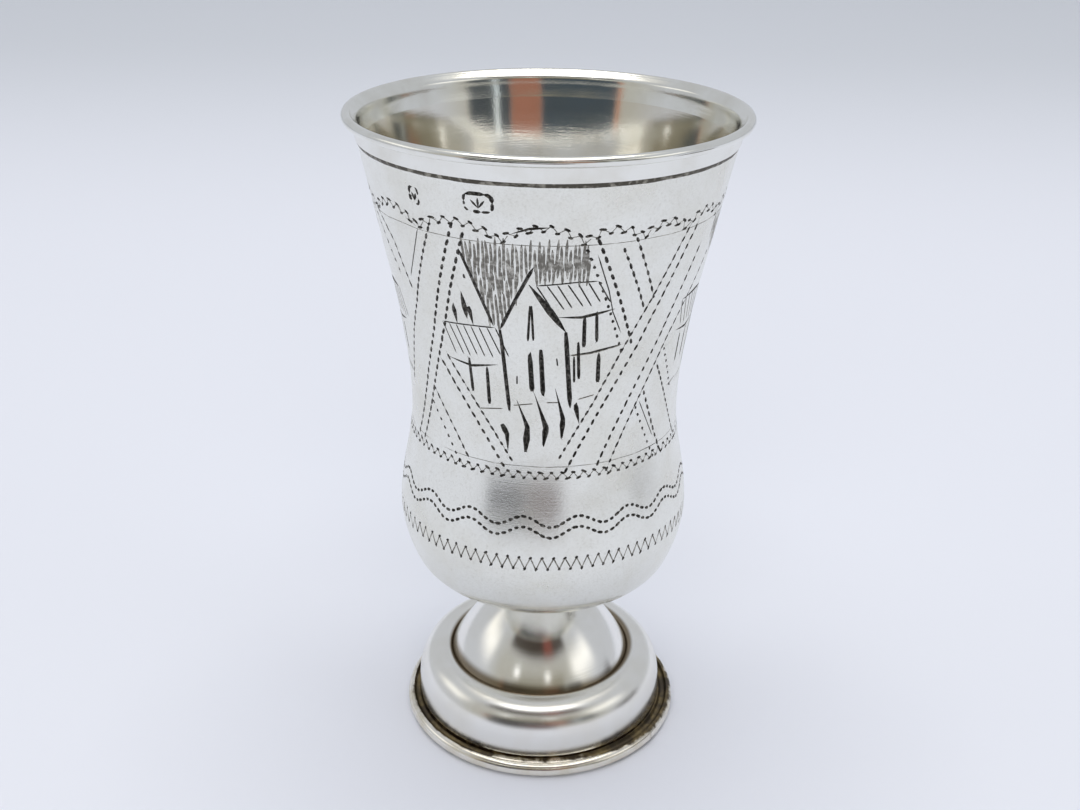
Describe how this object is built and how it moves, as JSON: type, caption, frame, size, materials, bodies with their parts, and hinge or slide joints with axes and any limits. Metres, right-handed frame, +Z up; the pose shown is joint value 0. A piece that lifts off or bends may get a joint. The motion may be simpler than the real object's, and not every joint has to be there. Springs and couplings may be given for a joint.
{
  "type": "kiddush cup",
  "caption": "Small footed beaker for wine: thin flared bowl with a rounded belly, a banded and beaded lip, and a hollow domed foot on a flat base ring.",
  "frame": {"origin": "centre of the circle on which the base ring stands", "axes": "+Z up along the axis of the cup, the engraved panel shown in the picture faces -Y"},
  "size_m": [0.049, 0.049, 0.085],
  "materials": {
    "satin_silver": "fine satin, hand-engraved old silver",
    "lip_silver": "worn half-bright silver",
    "polished_silver": "mirror-polished silver with a warm tint",
    "tarnished_silver": "yellowed silver with brown tarnish in its channel"
  },
  "bodies": {
    "root": {"base_ring": "tarnished_silver", "foot": "polished_silver", "bowl": "satin_silver", "lip_ring": "lip_silver"}
  },
  "joints": []
}
